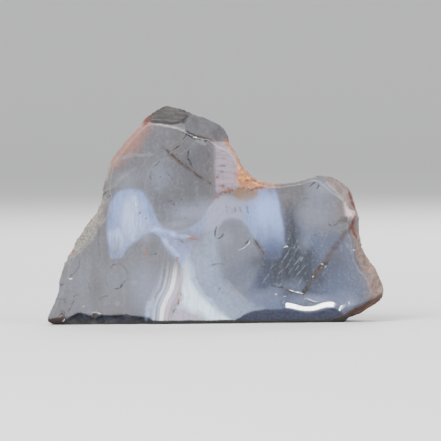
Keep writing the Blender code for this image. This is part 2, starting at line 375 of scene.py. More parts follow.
STROKES: dict[str, Strokes] = {
    "cracks": Strokes((
        ((173, 150), (175.5, 148.5), (178, 146.5), (180, 145)),
        ((189, 150), (188, 153), (187.6, 158), (189.5, 161), (191, 164.5), (192.5, 168)),
        ((182.5, 141), (185, 137), (187, 133.5), (190, 130)),
        ((153, 168), (155, 165.5), (158, 163), (160, 160)),
        ((109.5, 270), (111, 267), (113.5, 264.8), (117.5, 263.7)),
        ((129, 276), (127.5, 279), (124, 282.5), (121, 286.5), (118, 288.6), (114, 289)),
        ((80, 258.5), (79.3, 262), (79, 266), (76.5, 270.5), (73, 274), (69, 277.5)),
        ((75, 299), (73, 303), (71.5, 306), (70, 309), (67, 313)),
        ((73, 297.5), (76, 295.5), (80, 295)),
        ((57, 299.5), (60, 299), (63, 299.8), (66, 299)),
        ((60.5, 286), (62.5, 284), (65, 284.2)),
        ((327, 222), (330, 224.8), (334, 225.6), (338, 223.2), (343, 221.7), (348, 220.5)),
        ((240.5, 248.4), (244, 245.8), (247.4, 242), (250, 238)),
        ((216, 239), (219, 238.4), (222, 236), (223.5, 233)),
        ((215.6, 240), (215, 235), (215.6, 230), (217, 226)),
        ((149, 254), (153, 254.4), (158, 253)),
        ((173, 239), (178, 239.2), (182, 241.4), (184, 243.5)),
        ((268, 286), (273, 286), (278, 287.4), (283, 287.2), (288, 290.6), (294, 292.6), (301, 294.6)),
        ((302, 297.6), (307, 299.3), (312, 302.6), (318, 303)),
        ((305, 297), (307, 303), (306.4, 309), (308.5, 315), (308, 321)),
        ((309.5, 187), (311.5, 184.5), (316, 181.5)),
        ((316, 190), (318, 187), (319, 184)),
        ((331, 247.6), (334, 248.6), (338, 247.4)),
        ((350, 249), (354, 248.5), (356, 250.5)),
        ((104, 194), (107, 191.5), (111, 189.5)),
        ((105.5, 200), (109, 196.5), (112, 194.5)),
        ((46, 318.4), (52, 318.8), (59, 318.2)),
        ((58, 317), (61, 314), (64, 316), (66, 320)),
        ((303, 298), (306, 300.4), (304.4, 304)),
    )),
    "faint": Strokes((
        ((302, 199), (306, 198.3), (309, 198.6)),
        ((291, 205), (292, 202.5)),
        ((226.5, 206), (227, 213)),
        ((230.5, 206), (231.5, 213)),
        ((234.5, 207), (235.5, 212)),
        ((240, 205.5), (240.8, 213)),
        ((246.5, 206), (248.5, 214)),
        ((206, 269), (212, 265.4), (219, 263.4), (225, 265)),
        ((218, 291), (221, 288)),
        ((118, 263.4), (123, 266), (127, 271), (128.6, 277)),
        ((108.4, 269), (105.4, 275), (106, 282), (110, 287.6)),
        ((98, 300), (104, 297), (109, 296)),
        ((88, 281), (90, 290), (89.6, 300)),
        ((99, 224), (98, 238), (99.4, 252), (98.6, 266)),
        ((165, 172), (172, 178), (174, 186)),
        ((208, 150), (209, 160), (207.4, 172)),
        ((219, 151), (224, 151.4)),
        ((218.4, 158), (227, 158.6)),
        ((219, 166), (226, 166)),
        ((218, 171), (224, 172)),
        ((312, 236), (320, 233), (327, 233.6)),
        ((338, 262), (344, 264), (350, 270)),
        ((288, 226), (289.4, 216), (288.6, 208)),
    )),
    # Partly fissures, partly painted shadow: the dark line under the top chip's steep step.
    "chip_shadow_and_fissures": Strokes((
        ((149.6, 121.4), (156, 121.8), (163, 122.4), (170, 123.2), (177, 122.4), (182, 120.8), (188, 122)),
        ((183, 121), (187, 117.6), (190.4, 114.4), (194, 112.6)),
        ((186, 129), (187.4, 132), (191, 134), (196, 135.6)),
    )),
    "specks": Strokes((
        ((173, 205), (175, 204.4)), ((180.4, 200), (182, 199.4)), ((167.6, 201), (168.6, 201.6)),
        ((177.6, 193), (178.6, 193)), ((194.4, 195), (195.6, 195.4)), ((169.4, 221), (171, 221)),
        ((184.4, 218), (186, 217.4)), ((150.6, 175), (151, 180)), ((155, 164.6), (157.4, 166)),
        ((185, 163.4), (187, 166.4), (190, 169.6)), ((176, 147.6), (178.6, 146.6)), ((160, 176), (160.6, 177)),
        ((201, 187), (202.4, 186)), ((190, 184), (191, 185)), ((196, 206), (197, 205)),
        ((139, 212), (140.4, 213.6)), ((145, 219), (147, 218)), ((151, 172), (152, 173)),
        ((171, 200.6), (172, 201.4)), ((176, 209.6), (176.6, 210.4)), ((188, 206), (188.6, 206.8)),
        ((163, 212), (163.8, 212.4)), ((286, 262), (289, 259)), ((296, 246), (297, 242)),
        ((290, 240), (291, 236)), ((281, 267), (283, 265)), ((275, 270), (277, 268)),
        ((305, 260), (306, 257)), ((64, 300), (66, 303)), ((60, 313), (63, 311.4), (65, 315)),
    )),
    "rust": Strokes((
        ((161, 145), (164.5, 148.5), (169, 152.6), (175, 157), (180, 161.4), (185, 165.6), (190, 169.2),
         (196, 174.6), (202, 178.6), (208, 182), (215, 186.6)),
        ((180.6, 290), (180, 297), (179, 303), (176, 308), (172.6, 313), (170, 321)),
        ((281, 287), (288, 290.5), (294, 291.5)),
        ((253.6, 237), (258, 245), (262.6, 252), (267, 257.4)),
    )),
    "vein": Strokes((
        ((354.4, 224.6), (349, 229.6), (343.6, 235.4), (338.6, 242.4), (334, 249), (329.6, 256), (325.6, 262),
         (320, 268.4), (314.6, 276), (310.6, 283), (306, 291)),
        ((355, 218.6), (349, 219.2), (343, 220), (337, 221.4)),
    )),
    "gravel": Strokes((
        ((328, 262), (323.6, 265.6), (318, 270)),
        ((314.6, 275.6), (312, 280)),
        ((308, 287.4), (305.4, 291), (304, 295)),
        ((186, 133.4), (192, 136.4), (200, 137.6), (206, 140), (214, 140.6)),
    )),
    "red": Strokes((
        ((57.4, 294), (58.6, 280), (62, 266), (68, 254), (75, 243)),
        ((357, 316.4), (364, 310.6), (371, 304.8), (378, 299.4), (386, 294.8)),
        ((245, 179.3), (251, 180.4), (258, 180.6)),
        ((249, 190.3), (257, 188.2), (264, 186.4), (272, 183.3)),
        ((216, 186.4), (222, 186), (228, 188), (233, 190.4), (240, 188.2), (246, 188.5)),
        ((219, 194), (223, 191.6), (228, 191), (236, 192.5)),
        ((215.6, 177.4), (219, 176.4)),
    )),
    "wine": Strokes((
        ((351.6, 190), (353.6, 197), (355.2, 203), (356.8, 209)),
        ((359.6, 210), (357, 216.6), (355.4, 221), (352.6, 225.6), (349, 229)),
        ((353.4, 223.6), (356.4, 229.6), (358, 238)),
        ((144, 125.6), (147.6, 120), (151, 114.4), (154, 110)),
    )),
    "dots": Strokes((
        ((215, 195.6), (219, 198.4)), ((189, 238.4), (198.6, 239.6)), ((177, 256.6), (177, 262.4)),
        ((146, 250.6), (146, 255.4)), ((178.8, 298), (177.8, 305)), ((63.6, 261), (65.6, 257.6)),
        ((72, 252.4), (76, 250.4)), ((205, 138.4), (206, 138.8)), ((213, 139), (217, 139.6)),
        ((226, 137), (228, 140.6)), ((357, 213), (358.6, 210.6)), ((110.6, 152.6), (112, 149.6)),
    )),
    "wisps": Strokes((
        ((111, 163), (118, 159.5), (126, 156.6), (136, 155.2), (146, 154.6), (156, 155)),
        ((103, 194), (112, 186.8), (121, 179), (129, 172.2), (138, 166.4)),
        ((157, 187), (158, 190)),
        ((130, 281), (134, 282.6), (137, 282)),
        ((115, 303), (120, 303.6)),
        ((196, 140.6), (207, 143.6)),
        ((217, 142.6), (226, 144)),
        ((345, 243), (350, 247), (353, 252)),
        ((326, 179.4), (331, 185.2), (336, 191), (341, 196.8), (346, 202.4)),
        ((227, 281), (234, 290), (243, 298.4), (253, 305.4)),
    )),
    # Painted highlights: pale lines along the upper edges of the face, where the edges catch the light.
    "edge_highlights": Strokes((
        ((115, 153), (120, 147), (126, 140), (132, 133.4), (139, 126.4), (148, 121.6)),
        ((149, 123.6), (160, 124.6), (170, 126.4), (178, 128), (185, 130), (188, 131.4)),
        ((274, 183.2), (286, 182.2), (297, 180.8), (306, 178), (314, 175.6), (322, 174.6)),
        ((325, 178), (330.5, 184.6), (335.5, 190.6), (341, 197), (346, 202.6)),
        ((106, 206), (101, 212), (97, 217), (92, 223)),
        ((112, 160), (108.6, 170), (106.6, 182)),
    )),
    "threads": Strokes((
        ((149, 231.4), (158, 229.2), (168, 232.4), (178, 235.6), (186, 237), (192, 236)),
        ((162, 237), (168, 244.6), (175, 252.4), (180, 258)),
        ((193, 262), (193, 272), (196, 283), (202, 293), (209, 300), (217, 308), (226, 317)),
        ((154, 297), (152.6, 303), (152, 311), (152, 322)),
        ((149.6, 300), (148, 308), (147.6, 322)),
    )),
    # Real scratches, drawn pale as painted reflected light where they catch it.
    "scratches_and_sheen": Strokes((
        ((287, 276), (293, 267), (299, 259), (306, 251)),
        ((283, 273), (288, 265), (293, 257), (297, 251)),
        ((291, 283), (297, 275), (303, 268), (308, 262)),
        ((280, 266), (284, 259), (289, 252)),
        ((284, 247), (287, 242), (290, 236)),
        ((295, 271), (299, 265)),
        ((276, 278), (280, 272), (284, 267)),
        ((300, 281), (305, 274), (309, 269)),
        ((289, 262), (293, 255), (297, 249), (300, 244)),
        ((293, 250), (296, 244), (298, 239)),
        ((270, 270), (274, 264)),
        ((262, 284), (266, 278), (270, 273)),
        ((322, 276), (328, 268)),
        ((296, 287), (303, 279)),
        ((286, 256), (290, 249), (293, 245)),
        ((278, 288), (284, 280)),
        ((300, 262), (304, 256)),
        ((287, 241), (289.6, 236), (291, 232)),
        ((304, 285), (308, 280)),
    )),
    # Painted highlights: small white flecks where cracks and chips catch the light.
    "glints": Strokes((
        ((68, 278), (70.4, 279.4), (72, 278.6)), ((82.8, 306), (83.6, 307.6)), ((96.6, 318.6), (97.6, 319.4)),
        ((283.4, 247.6), (286, 246.4), (288, 247)), ((193, 137), (198, 137.8)),
        ((287, 289.4), (293, 291), (299, 292.6), (304.6, 293.8)), ((303, 298), (308, 299), (313, 301), (319, 302)),
        ((348.6, 301.4), (349.4, 304.6)), ((321, 263.4), (323, 264.6)), ((325, 267.4), (326, 265.8)),
        ((312.4, 277.6), (313.8, 275.8)), ((238, 250.4), (243.6, 248.2), (247.6, 245), (250.4, 240.8)),
        ((135.6, 201.6), (136.4, 206.8)), ((284, 296.4), (287, 296)), ((353, 249.4), (356, 250)),
        ((275, 294), (277, 295)), ((63, 321), (65, 319)),
    )),
    "bands": Strokes((
        ((179, 238), (178, 252), (175.5, 264), (174, 278), (172.5, 286), (170, 293), (166, 300), (163, 308),
         (161.5, 318), (161, 334)),
    )),
    "ripple": Strokes((
        ((280, 307.6), (284, 307), (288, 307), (295, 308.4), (302, 310.6), (310, 311), (318, 309),
         (325, 306.6), (332, 306.2), (338, 308.8), (342, 311.5)),
    )),
}


@dataclass(frozen=True)
class Pool:
    """A soft patch on the face where the colour is lighter, warmer or bluer: pixels and shares; a few light ones
    are a painted glow of light.
    """

    x: float
    y: float
    wide: float
    high: float
    light: float = 0.0
    warm: float = 0.0
    blue: float = 0.0
    turn: float = 0.0

    def shares(self, pixels: np.ndarray) -> np.ndarray:
        """Work out what the patch adds.

        Args:
            pixels: rows of pixel x and y.

        Returns:
            Rows of lightness, warmth and blueness.
        """
        across, down = pixels[:, 0] - self.x, pixels[:, 1] - self.y
        turn = radians(self.turn)
        first = (across * cos(turn) + down * sin(turn)) / self.wide
        second = (down * cos(turn) - across * sin(turn)) / self.high
        strength = np.exp(-(first ** 2 + second ** 2))
        return strength[:, None] * np.array((self.light, self.warm, self.blue))


POOLS: tuple[Pool, ...] = (
    Pool(268, 264, 15, 8, light=-0.20),
    Pool(256, 261, 8, 7, light=-0.40),
    Pool(325, 270, 11, 14, light=-0.42),
    Pool(294, 286, 14, 8, light=0.10, blue=0.2),
    Pool(272, 292, 10, 9, light=0.18, blue=0.2),
    Pool(304, 243, 7, 10, light=0.14),
    Pool(222, 308, 8, 7, light=0.14),
    Pool(248, 200, 12, 6, light=0.15),
    Pool(224, 238, 8, 8, light=0.12),
    Pool(147, 130, 6, 6, light=-0.18),
    # Painted glow of light around the ripple highlight and the glints beside it.
    Pool(318, 299, 14, 5, light=0.22),
    Pool(349, 304, 9, 5, light=0.20),
    Pool(130, 217, 7, 14, light=0.30),
    Pool(146, 238, 6, 6, light=0.20),
    Pool(96, 284, 7, 20, light=-0.12),
    Pool(296, 196, 10, 12, light=-0.07),
    Pool(338, 263, 8, 9, light=-0.22),
    Pool(206, 272, 9, 18, light=0.08),
    Pool(107, 212, 5, 16, light=-0.12, warm=0.5),
    Pool(289, 222, 4, 16, light=-0.03, warm=0.25),
    Pool(342, 208, 7, 12, warm=0.8),
    Pool(247, 288, 10, 12, blue=0.35),
    Pool(289, 286, 12, 6, blue=0.35),
    Pool(100, 290, 48, 28, light=0.10, blue=0.12),
    Pool(160, 176, 12, 15, light=0.17),
    Pool(176, 225, 12, 5, light=0.18),
    Pool(190, 240, 19, 14, light=0.10, warm=0.75),
    Pool(278, 258, 13, 14, light=-0.30),
    Pool(338, 257, 11, 12, light=-0.12, warm=0.5),
    # Painted glow where the glints below the cracks blur.
    Pool(302, 300, 16, 6, light=0.15),
    Pool(256, 296, 10, 8, light=0.14, blue=0.15),
    Pool(168, 298, 12, 18, light=0.26),
    Pool(322, 188, 15, 9, light=0.18),
    Pool(339, 206, 8, 12, light=0.10, warm=0.5),
    Pool(124, 178, 16, 9, light=0.12),
    Pool(104, 232, 4, 26, light=-0.07),
    Pool(190, 213, 20, 9, light=0.30, blue=0.3),
    Pool(206, 203, 8, 7, light=0.14),
    Pool(209, 166, 6, 26, light=-0.12, warm=0.55),
    Pool(190, 154, 16, 12, light=-0.10),
    Pool(140, 240, 16, 8, light=-0.05, warm=0.2),
    Pool(146, 290, 12, 28, light=0.22, blue=0.4),
    Pool(128, 150, 24, 14, light=-0.12, warm=0.15),
    Pool(286, 200, 8, 20, light=-0.06, warm=0.35),
    Pool(316, 212, 20, 18, light=0.16, blue=0.25),
    Pool(238, 272, 20, 12, light=-0.24, blue=0.5, turn=-30),
    Pool(262, 272, 14, 18, light=-0.20, blue=0.35),
    Pool(270, 303, 28, 7, light=0.12, blue=0.9),
    Pool(332, 262, 16, 22, light=-0.12, blue=0.4, turn=30),
    Pool(319, 280, 7, 10, light=-0.55, blue=0.1),
    # Partly bluish stone, partly painted glow of light beside the highlight.
    Pool(340, 298, 14, 8, light=0.16, blue=0.4),
    Pool(358, 276, 8, 26, light=0.02, warm=0.25, turn=-20),
    Pool(370, 296, 12, 7, light=-0.06, warm=0.3, turn=-25),
    Pool(238, 232, 12, 8, warm=0.15),
    Pool(192, 237, 12, 7, light=-0.10, warm=0.5),
    Pool(185, 266, 5, 16, light=0.10),
    Pool(114, 251, 9, 10, light=-0.28, warm=0.6),
    Pool(128, 211, 8, 16, light=0.34),
    Pool(145, 224, 6, 6, light=-0.22),
    Pool(271, 188, 10, 5, light=-0.26, warm=0.5),
    Pool(242, 195, 22, 7, warm=0.75),
)


# How much deeper, in millimetres, the rim is broken in each region.
BREAKAGE: dict[str, float] = {
    "granular": 0.34, "rind": 0.22, "chipped": -0.05, "knob": -0.15, "facet": -0.14, "blush": -0.18,
    "shoulder": -0.10,
}


@dataclass
class StoneBody:
    """The slab's surface: the frame's solid, remeshed finely, with the breakage of its rim.

    ledge, ripple_width, ripple_reach and breakage are in millimetres, as the regions' distances are. A pair
    is where a share starts and where it is full.
    """

    voxel: float = 0.325 * MM
    half_depth: float = 7.0 * MM
    flake_size: float = 3.4 * MM
    grain_size: float = 0.9 * MM
    ledge: float = 0.85
    ledge_depth: float = 0.26 * MM
    ripple_depth: float = 0.50 * MM
    ripple_width: float = 1.6
    band_lean: tuple[float, float] = (0.9, -0.6)
    band_sway: float = 0.7
    sway_size: float = 6.0 * MM
    seed: int = 7
    flush: tuple[float, float] = (0.34 * MM, 0.04 * MM)
    facing: tuple[float, float] = (0.80, 0.97)
    upright: tuple[float, float] = (0.7, 0.95)
    roll_reach: tuple[float, float] = (5.0 * MM, 3.4 * MM)
    ripple_ends: tuple[float, float, float, float] = (0.02, 0.16, 0.995, 0.94)
    ripple_reach: tuple[float, float, float] = (6.0, 6.5, 7.0)
    breakage: float = 0.30
    mesh: bpy.types.Mesh | None = field(default=None, init=False)

    def build(self) -> bpy.types.Object:
        """Make the slab.

        Returns:
            The new object, which stands for the frame's node.
        """
        noise.seed_set(self.seed)
        thing = self.fine_copy()
        self.mesh = thing.data
        places, normals = self.read()
        zones = self.zones(places, normals)
        places = self.break_rim(places, normals, zones)
        places = self.true_faces(places, zones)
        self.mesh.vertices.foreach_set("co", places.astype(np.float32).ravel())
        self.mesh.update()
        zones["worn"] = self.worn_edges(*self.read())
        self.write_fields(places, zones)
        self.mesh.shade_smooth()
        return thing

    def fine_copy(self) -> bpy.types.Object:
        """Copy the frame's solid, merge its corners and remesh it with small even faces.

        Returns:
            The copy, at the origin.
        """
        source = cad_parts[NODE]
        body = bmesh.new()
        body.from_mesh(source.data)
        body.transform(source.matrix_world)
        bmesh.ops.remove_doubles(body, verts=body.verts, dist=1e-6)
        coarse = bpy.data.meshes.new("slab coarse")
        body.to_mesh(coarse)
        body.free()
        draft = bpy.data.objects.new("slab draft", coarse)
        bpy.context.scene.collection.objects.link(draft)
        grid = draft.modifiers.new("even faces", "REMESH")
        grid.mode = "VOXEL"
        grid.voxel_size = self.voxel
        graph = bpy.context.evaluated_depsgraph_get()
        fine = bpy.data.meshes.new_from_object(draft.evaluated_get(graph))
        fine.name = "agate"
        bpy.data.objects.remove(draft, do_unlink=True)
        thing = bpy.data.objects.new("agate", fine)
        bpy.context.scene.collection.objects.link(thing)
        return thing

    def read(self) -> tuple[np.ndarray, np.ndarray]:
        """Read the mesh's vertices.

        Returns:
            Rows of places and rows of normals.
        """
        count = len(self.mesh.vertices)
        places = np.empty(count * 3, dtype=np.float32)
        normals = np.empty(count * 3, dtype=np.float32)
        self.mesh.vertices.foreach_get("co", places)
        self.mesh.vertices.foreach_get("normal", normals)
        return places.reshape(-1, 3).astype(float), normals.reshape(-1, 3).astype(float)

    def zones(self, places: np.ndarray, normals: np.ndarray) -> dict[str, np.ndarray]:
        """Sort the surface into polished face, sawn back, sawn edge, rolled edge and broken rim.

        Args:
            places: rows of X, Y, Z.
            normals: rows of outward directions.

        Returns:
            A share from 0 to 1 for each zone at each place.
        """
        ahead = self.half_depth + places[:, 1]
        behind = self.half_depth - places[:, 1]
        face = smoothstep(*self.flush, ahead) * smoothstep(*self.facing, -normals[:, 1])
        back = smoothstep(*self.flush, behind) * smoothstep(*self.facing, normals[:, 1])
        base = smoothstep(*self.flush, places[:, 2]) * smoothstep(*self.upright, -normals[:, 2])
        roll = REGIONS["bevel"].field(PLANE.seen(places))
        rolled = smoothstep(-0.6, 0.1, roll) * smoothstep(*self.roll_reach, ahead) * (1.0 - base)
        rolled *= 1.0 - face
        face = np.maximum(face, self.above_chips(places, normals))
        rim = np.clip(1.0 - face - back - base - rolled, 0.0, 1.0)
        return {"face": face, "back": back, "base": base, "rolled": rolled, "rim": rim}

    def worn_edges(self, places: np.ndarray, normals: np.ndarray) -> np.ndarray:
        """Find the face's upper edges, where the polish is worn: all that leans but the ripple.

        Args:
            places: rows of X, Y, Z.
            normals: rows of outward directions of the finished surface.

        Returns:
            A share from 0 to 1 at each place.
        """
        ripple = STROKES["ripple"].field(PLANE.seen(places))
        leaning = smoothstep(0.9995, 0.995, -normals[:, 1]) * smoothstep(6.0 * MM, 9.0 * MM, places[:, 2])
        return leaning * smoothstep(self.ripple_reach[0], self.ripple_reach[2], ripple[:, 1])

    def above_chips(self, places: np.ndarray, normals: np.ndarray) -> np.ndarray:
        """Find the stone just above the chipped band, which is still polished.

        Args:
            places: rows of X, Y, Z.
            normals: rows of outward directions.

        Returns:
            A share from 0 to 1 at each place.
        """
        pixels = PLANE.seen(places)
        outside = smoothstep(0.25, -0.15, REGIONS["chipped"].field(pixels))
        across = smoothstep(62.0, 68.0, pixels[:, 0]) * smoothstep(160.0, 152.0, pixels[:, 0])
        near = smoothstep(2.4 * MM, 1.8 * MM, self.half_depth + places[:, 1]) * (pixels[:, 1] > 300.0)
        return outside * across * near * smoothstep(0.05, 0.3, -normals[:, 1])

    def rim_depth(self, pixels: np.ndarray, depth: np.ndarray) -> np.ndarray:
        """Say how deep the rim's breakage is.

        Args:
            pixels: rows of pixel x and y.
            depth: how far behind the polished face each place is.

        Returns:
            The depth of the breakage in metres.
        """
        amount = np.full(len(pixels), self.breakage)
        for name, more in BREAKAGE.items():
            amount += more * smoothstep(-1.0, 0.5, REGIONS[name].field(pixels))
        amount += 0.20 * smoothstep(2.0 * MM, 6.0 * MM, depth)
        return amount * MM

    def break_rim(self, places: np.ndarray, normals: np.ndarray, zones: dict[str, np.ndarray]) -> np.ndarray:
        """Push the rim in where flakes and grains have come off it, and cut ledges into the top chip.

        Args:
            places: rows of X, Y, Z.
            normals: rows of outward directions.
            zones: the shares from zones().

        Returns:
            The moved places.
        """
        moved = places.copy()
        pixels = PLANE.seen(places)
        amount = self.rim_depth(pixels, places[:, 1] + self.half_depth) * zones["rim"]
        chip = smoothstep(-0.3, 0.3, REGIONS["chip"].field(pixels)) * zones["rim"]
        for index in np.nonzero(zones["rim"] > 0.02)[0]:
            place = Vector(places[index])
            spot = place / self.flake_size
            spot += 0.35 * noise.noise_vector(place / (self.flake_size * 0.5))
            middle = Vector(noise.voronoi(spot)[1][0])
            facet = noise.noise_vector(middle * 5.3).dot(spot - middle) * 1.6
            grain = noise.fractal(place / self.grain_size, 0.8, 2.1, 4)
            inward = min(0.3, max(-1.0, 0.8 * facet + 0.30 * grain - 0.05)) * amount[index]
            if chip[index] > 0.0:
                level = pixels[index, 1] * PLANE.pixel / MM + 0.45 * noise.noise(place / (3.0 * MM))
                inward -= self.ledge_depth * ((level / self.ledge) % 1.0) * chip[index]
            moved[index] += normals[index] * inward
        return np.clip(moved, np.array(CAD_BOX[0]), np.array(CAD_BOX[1]))

    def true_faces(self, places: np.ndarray, zones: dict[str, np.ndarray]) -> np.ndarray:
        """Flatten the polished and sawn faces, and leave the ripple in the polish above the bevel.

        Args:
            places: rows of X, Y, Z.
            zones: the shares from zones().

        Returns:
            The moved places.
        """
        moved = places.copy()
        ripple = STROKES["ripple"].field(PLANE.seen(places))
        ends = smoothstep(*self.ripple_ends[:2], ripple[:, 2]) * smoothstep(*self.ripple_ends[2:], ripple[:, 2])
        dent = np.exp(-((ripple[:, 0] + self.ripple_width) / self.ripple_width) ** 2)
        dent *= ends * (ripple[:, 1] < self.ripple_reach[1])
        level = -self.half_depth + self.ripple_depth * dent
        moved[:, 1] += zones["face"] * (level - moved[:, 1])
        moved[:, 1] += zones["back"] * (self.half_depth - moved[:, 1])
        moved[:, 2] -= zones["base"] * moved[:, 2]
        return moved

    def write_fields(self, places: np.ndarray, zones: dict[str, np.ndarray]) -> None:
        """Store on each vertex where it lies among the stone's regions, lines and zones.

        Args:
            places: rows of X, Y, Z.
            zones: the shares from zones().
        """
        depth = (places[:, 1] + self.half_depth) / MM
        sway = np.array([noise.noise_vector(Vector(place) / self.sway_size)[:2] for place in places])
        pixels = PLANE.seen(places) + depth[:, None] * (np.array(self.band_lean) + self.band_sway * sway)
        names = list(REGIONS)
        for start in range(0, len(names), 3):
            rows = np.zeros((len(places), 3))
            for column, name in enumerate(names[start:start + 3]):
                rows[:, column] = REGIONS[name].field(pixels)
            self.store(f"regions_{start // 3}", rows)
        for name, strokes in STROKES.items():
            self.store(name, strokes.field(pixels))
        self.store("tone", sum(pool.shares(pixels) for pool in POOLS))
        polished, sawn = zones["face"] + zones["rolled"], zones["back"] + zones["base"]
        self.store("zones", np.column_stack((polished, sawn, zones["worn"])))
        self.store("seen", np.column_stack((pixels, depth)))

    def store(self, name: str, rows: np.ndarray) -> None:
        """Keep three numbers on each vertex.

        Args:
            name: the attribute's name.
            rows: three numbers for each vertex.
        """
        layer = self.mesh.attributes.new(name, "FLOAT_VECTOR", "POINT")
        layer.data.foreach_set("vector", rows.astype(np.float32).ravel())


Tone = tuple[int, int, int]
Stretch = tuple[float, float, float]
Socket = bpy.types.NodeSocket

STUDIO_LIGHT, STUDIO_VEIL, STUDIO_SPREAD = 2.8, 0.03, 1.08
TONE_CURVE = (-7.50, 19.04, -26.02, 18.01)


def tint(tone: Tone) -> tuple[float, float, float, float]:
    """Turn a colour as it looks in the studio's light into the stone's own colour.

    Args:
        tone: red, green and blue from 0 to 255.

    Returns:
        Linear red, green, blue and an alpha of 1.
    """
    middle = sum(tone) / 3.0
    channels = []
    for value in tone:
        seen = (middle + STUDIO_SPREAD * (value - middle)) / 255.0
        bright = 2.0 ** sum(part * seen ** power for power, part in enumerate(TONE_CURVE))
        channels.append(min(0.95, max(0.004, (bright - STUDIO_VEIL) / STUDIO_LIGHT)))
    return (*channels, 1.0)


@dataclass(frozen=True)
class Mottle:
    """A second colour in grains or streaks: lengths in millimetres, the turn in degrees."""

    tone: Tone
    size: float
    amount: float = 0.5
    sharp: float = 0.12
    middle: float = 0.5
    stretch: Stretch = (1.0, 1.0, 1.0)
    turn: float = 0.0


@dataclass(frozen=True)
class Layer:
    """One colour of the stone, some darkened as painted shade: where it lies, how soft its border is and how
    strongly it shows.

    haze is the share of it that spreads 3 mm wide over the border; rows are the pixel rows between which
    it comes up.
    """

    region: str
    tone: Tone
    soft: float = 0.4
    strength: float = 1.0
    wobble: float = 0.25
    grow: float = 0.0
    haze: float = 0.0
    reach: float = 99.0
    within: str = ""
    rows: tuple[float, float] | None = None
    mottle: Mottle | None = None


@dataclass(frozen=True)
class Line:
    """One kind of line on the stone, some of them painted highlights: its half width in millimetres and how
    strongly it shows.
    """

    strokes: str
    tone: Tone
    width: float
    soft: float = 0.12
    strength: float = 1.0
    wobble: float = 0.15
    patchy: float = 0.5
    reach: float = 3.0
    mottle: Mottle | None = None


